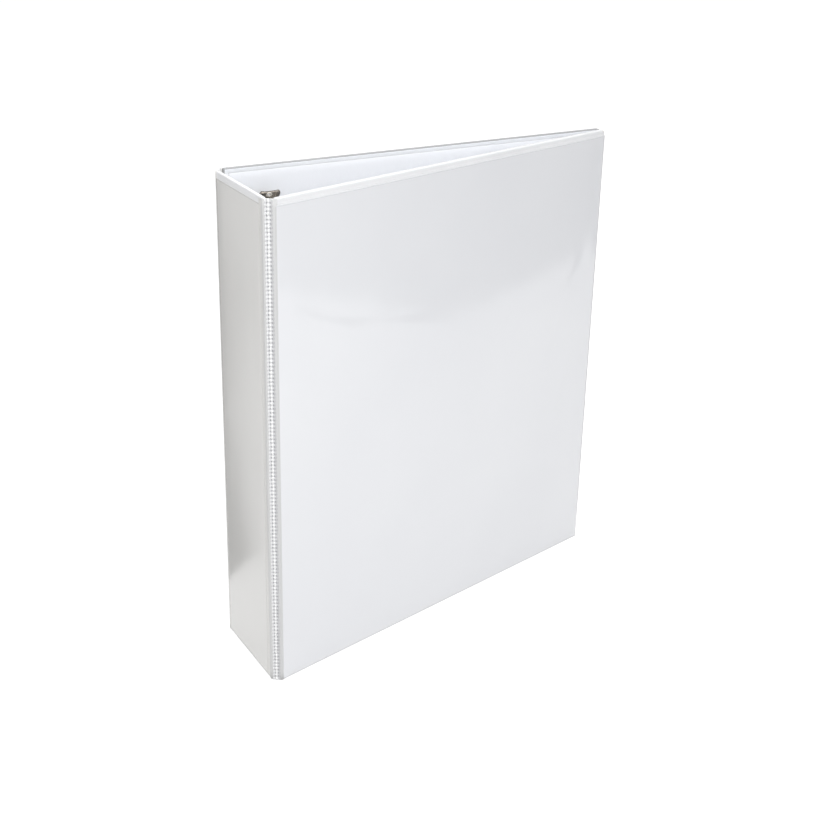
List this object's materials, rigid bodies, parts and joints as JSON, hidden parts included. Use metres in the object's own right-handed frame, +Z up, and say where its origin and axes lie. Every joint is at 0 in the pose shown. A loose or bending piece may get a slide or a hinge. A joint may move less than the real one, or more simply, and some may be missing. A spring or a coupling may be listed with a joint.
{
  "type": "ring binder",
  "caption": "Upright presentation ring binder with clear overlays on its covers and spine, hinged by welded bands, with a lever-opened D-ring mechanism on the rear cover.",
  "frame": {"origin": "centre of the bottom of the bounding box, on the surface it stands on", "axes": "+Z up along the spine, -X towards the spine, +X towards the fore edge, -Y towards the front cover, +Y towards the rear cover"},
  "size_m": [0.2872, 0.0782, 0.318],
  "materials": {
    "cover_vinyl": "fine-grained white vinyl",
    "liner_vinyl": "fine-grained white vinyl",
    "hinge_vinyl": "knurled weld in white vinyl",
    "clear_film": "clear glossy film",
    "board": "grey chipboard",
    "nickel": "nickel-plated steel",
    "rivet_nickel": "nickel-plated steel",
    "lever_nickel": "nickel-plated steel"
  },
  "bodies": {
    "spine": {"spine_outer_skin": "cover_vinyl", "spine_board": "board", "spine_liner": "liner_vinyl", "spine_overlay": "clear_film"},
    "front_hinge": {"front_hinge_band": "hinge_vinyl"},
    "rear_hinge": {"rear_hinge_band": "hinge_vinyl"},
    "front_cover": {"front_outer_skin": "cover_vinyl", "front_board": "board", "front_liner": "liner_vinyl", "front_overlay": "clear_film", "front_inner_pocket": "clear_film"},
    "rear_cover": {"rear_outer_skin": "cover_vinyl", "rear_board": "board", "rear_liner": "liner_vinyl", "rear_overlay": "clear_film", "ring_housing": "nickel", "mechanism_rivets": "rivet_nickel", "lever_pins": "nickel"},
    "spine_side_rings": {"spine_side_blade": "nickel", "ring_curved_half_1": "nickel", "ring_curved_half_2": "nickel", "ring_curved_half_3": "nickel", "ring_curved_half_4": "nickel"},
    "fore_side_rings": {"fore_side_blade": "nickel", "ring_post_half_1": "nickel", "ring_post_half_2": "nickel", "ring_post_half_3": "nickel", "ring_post_half_4": "nickel"},
    "upper_lever": {"upper_lever": "lever_nickel"},
    "lower_lever": {"lower_lever": "lever_nickel"}
  },
  "joints": [
    {"name": "front_spine_fold", "type": "hinge", "parent": "spine", "child": "front_hinge", "pos_m": [-0.14315, -0.03489, 0], "axis": [0, 0, -1], "range_deg": [0, 90]},
    {"name": "front_cover_fold", "type": "hinge", "parent": "front_hinge", "child": "front_cover", "pos_m": [-0.13791, -0.03898, 0], "axis": [0, 0, -1], "range_deg": [0, 90]},
    {"name": "rear_spine_fold", "type": "hinge", "parent": "spine", "child": "rear_hinge", "pos_m": [-0.14315, 0.03328, 0], "axis": [0, 0, 1], "range_deg": [0, 90]},
    {"name": "rear_cover_fold", "type": "hinge", "parent": "rear_hinge", "child": "rear_cover", "pos_m": [-0.13775, 0.03864, 0], "axis": [0, 0, 1], "range_deg": [0, 90]},
    {"name": "ring_opening", "type": "hinge", "parent": "rear_cover", "child": "spine_side_rings", "pos_m": [-0.11979, 0.03277, 0.159], "axis": [0, 0, -1], "range_deg": [0, 16]},
    {"name": "fore_ring_opening", "type": "hinge", "parent": "rear_cover", "child": "fore_side_rings", "pos_m": [-0.10259, 0.03265, 0.159], "axis": [0, 0, 1], "range_deg": [0, 16]},
    {"name": "upper_lever_turn", "type": "hinge", "parent": "rear_cover", "child": "upper_lever", "pos_m": [-0.11119, 0.03241, 0.2915], "axis": [-1, 0.0068, 0], "range_deg": [0, 20]},
    {"name": "lower_lever_turn", "type": "hinge", "parent": "rear_cover", "child": "lower_lever", "pos_m": [-0.11119, 0.03241, 0.0265], "axis": [1, -0.0068, 0], "range_deg": [0, 20]}
  ],
  "couplings": [
    {"joint": "front_spine_fold", "follows": "front_cover_fold", "ratio": 1},
    {"joint": "rear_spine_fold", "follows": "rear_cover_fold", "ratio": 1},
    {"joint": "fore_ring_opening", "follows": "ring_opening", "ratio": 1},
    {"joint": "upper_lever_turn", "follows": "ring_opening", "ratio": 1.25},
    {"joint": "lower_lever_turn", "follows": "ring_opening", "ratio": 1.25}
  ]
}
